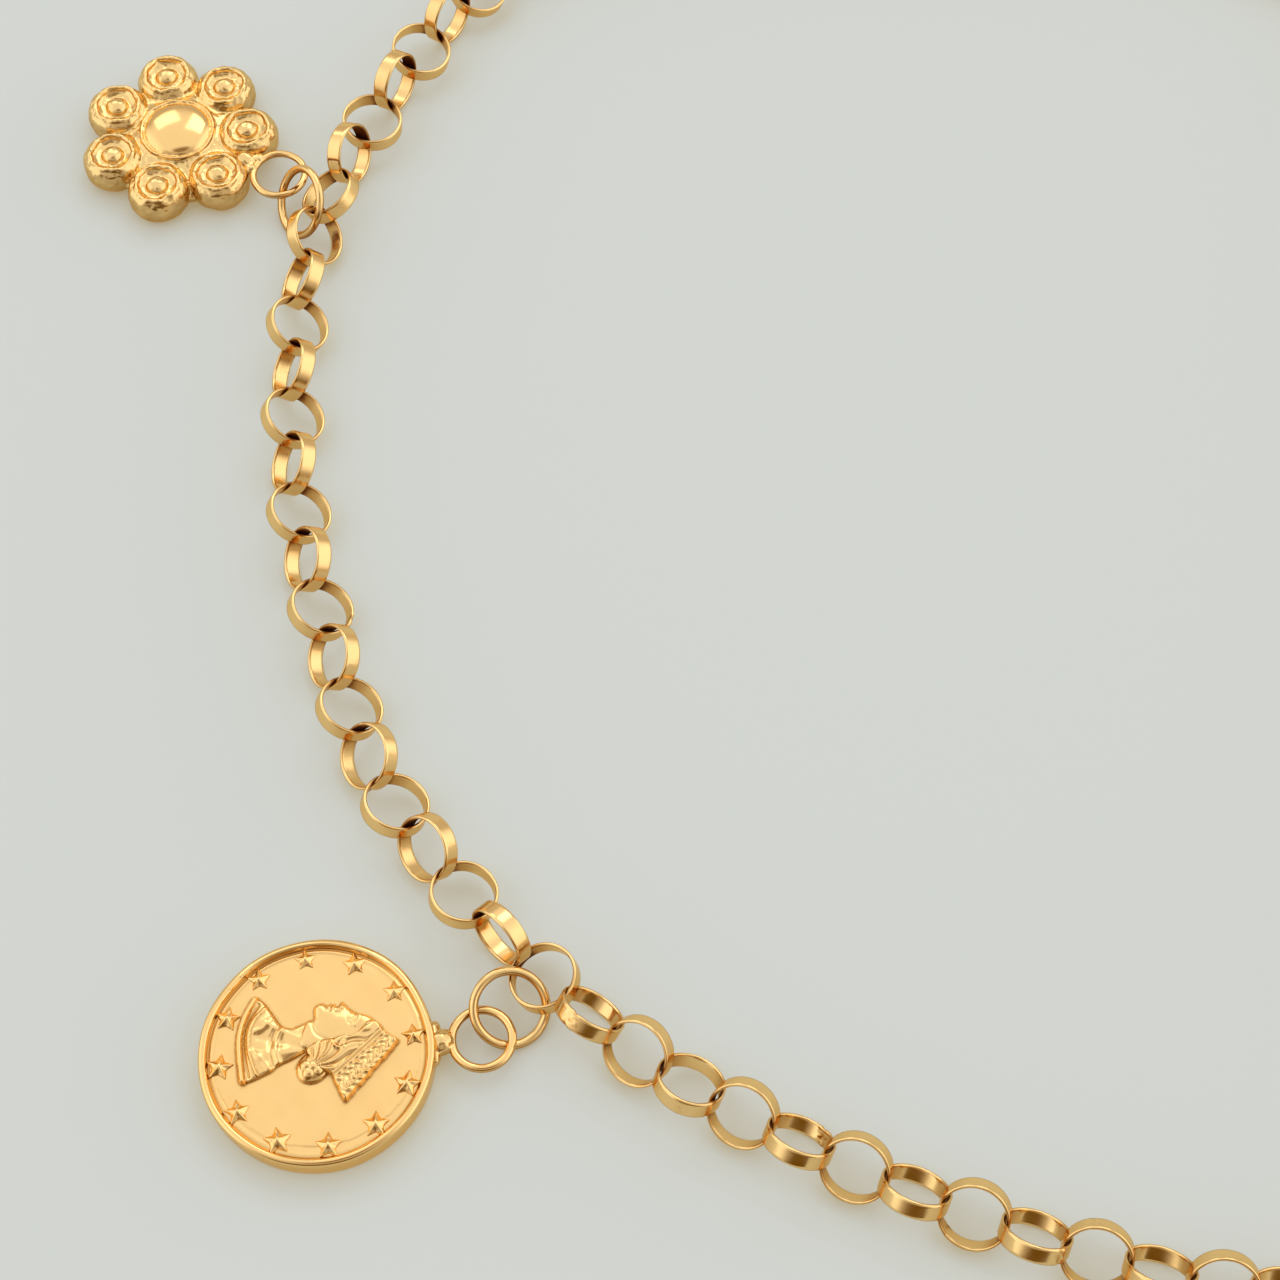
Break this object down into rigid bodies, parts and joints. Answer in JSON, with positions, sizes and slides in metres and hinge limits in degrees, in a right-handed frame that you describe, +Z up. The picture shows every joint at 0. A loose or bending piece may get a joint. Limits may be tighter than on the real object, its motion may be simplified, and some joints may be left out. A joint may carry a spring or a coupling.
{
  "type": "charm anklet",
  "caption": "Flat-strip belcher chain anklet that lies in a loop, with a coin charm and a rosette flower charm on jump rings and a plain spring-ring clasp.",
  "frame": {"origin": "middle of the footprint on the table, at table height", "axes": "+Z up from the table, +Y away from the viewer of the picture along the loop's longer way, +X to the viewer's right"},
  "size_m": [0.0824, 0.0924, 0.0037],
  "materials": {
    "chain_gold": "polished yellow gold",
    "charm_gold": "soft satin cast yellow gold"
  },
  "bodies": {
    "root": {"chain_front": "chain_gold", "chain_back": "chain_gold", "coin_jump_ring": "chain_gold", "flower_jump_ring": "chain_gold", "clasp": "chain_gold", "coin_charm": "charm_gold", "flower_charm": "charm_gold"}
  },
  "joints": []
}
